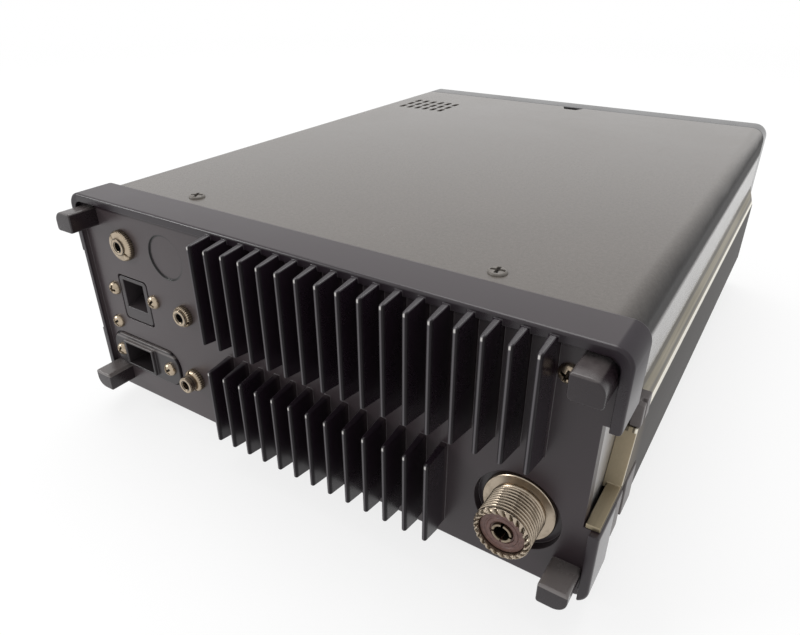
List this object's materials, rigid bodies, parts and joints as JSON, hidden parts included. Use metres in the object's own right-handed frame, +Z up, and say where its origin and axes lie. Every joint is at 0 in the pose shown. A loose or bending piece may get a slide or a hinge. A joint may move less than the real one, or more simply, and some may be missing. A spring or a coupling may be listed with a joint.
{
  "type": "amateur radio transceiver",
  "caption": "Compact amateur radio transceiver with a finned rear heat sink, wrap-round covers, side rails, antenna and jack sockets, and a front with tuning knob, controls and keys.",
  "frame": {"origin": "on the floor, under the middle of the set", "axes": "+Y towards the finned rear, -Y towards the controls, +Z up, +X to the right seen from the front"},
  "size_m": [0.195, 0.278, 0.0854],
  "materials": {
    "casting_paint": "satin dark grey paint on a die casting",
    "cover_paint": "fine textured warm grey paint on sheet steel",
    "bezel_plastic": "fine satin moulding",
    "rail_metal": "bronze anodised slope and ledge, dark brown face",
    "black_plastic": "satin moulding",
    "chassis_metal": "plain sheet",
    "circuit_board": "green lacquered laminate",
    "nickel": "worn nickel plate",
    "steel_can": "tinned sheet",
    "gilt": "pale yellow plate",
    "dark_screw": "blackened steel",
    "rubber": "matt",
    "phenolic": "brown phenolic moulding",
    "window": "smoked clear acrylic",
    "display": "dark display glass",
    "knob_plastic": "satin moulding",
    "key_plastic": "satin grey moulding"
  },
  "bodies": {
    "radio": {"rear_casting": "casting_paint", "top_cover": "cover_paint", "bottom_cover": "cover_paint", "front_bezel": "bezel_plastic", "left_rail": "rail_metal", "right_rail": "rail_metal", "rail_clips": "black_plastic", "rear_feet": "black_plastic", "speaker_jack": "black_plastic", "key_jack": "black_plastic", "standby_jack": "black_plastic", "accessory_socket": "black_plastic", "power_socket": "black_plastic", "key_switches": "black_plastic", "microphone_insert": "black_plastic", "phones_jack": "black_plastic", "power_amplifier": "black_plastic", "speaker": "black_plastic", "chassis_frame": "chassis_metal", "main_board": "circuit_board", "rf_board": "circuit_board", "control_board": "circuit_board", "antenna_socket": "nickel", "antenna_nut": "nickel", "microphone_socket": "nickel", "shield_cans": "steel_can", "tuning_encoder": "steel_can", "volume_control": "steel_can", "rit_control": "steel_can", "mode_switch": "steel_can", "board_spacers": "steel_can", "panel_screws": "gilt", "jack_nuts": "gilt", "antenna_contact": "gilt", "power_pins": "gilt", "microphone_pins": "gilt", "cover_screws": "dark_screw", "rubber_feet": "rubber", "antenna_insulator": "phenolic", "display_window": "window", "display_module": "display"},
    "tuning": {"tuning_shaft": "steel_can", "tuning_knob": "knob_plastic", "tuning_grip": "rubber"},
    "volume": {"volume_shaft": "steel_can", "volume_knob": "knob_plastic"},
    "squelch": {"squelch_tube": "steel_can", "squelch_ring": "knob_plastic"},
    "rit": {"rit_shaft": "steel_can", "rit_knob": "knob_plastic"},
    "mode": {"mode_shaft": "steel_can", "mode_knob": "knob_plastic"},
    "power_button": {"power_button": "key_plastic"},
    "vfo_key": {"vfo_key": "key_plastic"},
    "memory_key": {"memory_key": "key_plastic"},
    "scan_key": {"scan_key": "key_plastic"},
    "blanker_key": {"blanker_key": "key_plastic"},
    "call_key": {"call_key": "key_plastic"},
    "lock_key": {"lock_key": "key_plastic"}
  },
  "joints": [
    {"name": "tuning_turn", "type": "hinge", "parent": "radio", "child": "tuning", "pos_m": [0.028, -0.115, 0.038], "axis": [0, 1, 0], "continuous": true},
    {"name": "volume_turn", "type": "hinge", "parent": "radio", "child": "volume", "pos_m": [-0.01, -0.115, 0.026], "axis": [0, 1, 0], "range_deg": [-150, 150]},
    {"name": "squelch_turn", "type": "hinge", "parent": "radio", "child": "squelch", "pos_m": [-0.01, -0.115, 0.026], "axis": [0, 1, 0], "range_deg": [-150, 150]},
    {"name": "rit_turn", "type": "hinge", "parent": "radio", "child": "rit", "pos_m": [0.0733, -0.115, 0.064], "axis": [0, 1, 0], "range_deg": [-140, 140]},
    {"name": "mode_turn", "type": "hinge", "parent": "radio", "child": "mode", "pos_m": [0.0733, -0.115, 0.03], "axis": [0, 1, 0], "range_deg": [-60, 60]},
    {"name": "power_button_press", "type": "slide", "parent": "radio", "child": "power_button", "axis": [0, 1, 0], "range_m": [0, 0.0008], "stiffness_N_per_m": 1500},
    {"name": "vfo_key_press", "type": "slide", "parent": "radio", "child": "vfo_key", "axis": [0, 1, 0], "range_m": [0, 0.0008], "stiffness_N_per_m": 1500},
    {"name": "memory_key_press", "type": "slide", "parent": "radio", "child": "memory_key", "axis": [0, 1, 0], "range_m": [0, 0.0008], "stiffness_N_per_m": 1500},
    {"name": "scan_key_press", "type": "slide", "parent": "radio", "child": "scan_key", "axis": [0, 1, 0], "range_m": [0, 0.0008], "stiffness_N_per_m": 1500},
    {"name": "blanker_key_press", "type": "slide", "parent": "radio", "child": "blanker_key", "axis": [0, 1, 0], "range_m": [0, 0.0008], "stiffness_N_per_m": 1500},
    {"name": "call_key_press", "type": "slide", "parent": "radio", "child": "call_key", "axis": [0, 1, 0], "range_m": [0, 0.0008], "stiffness_N_per_m": 1500},
    {"name": "lock_key_press", "type": "slide", "parent": "radio", "child": "lock_key", "axis": [0, 1, 0], "range_m": [0, 0.0008], "stiffness_N_per_m": 1500}
  ]
}
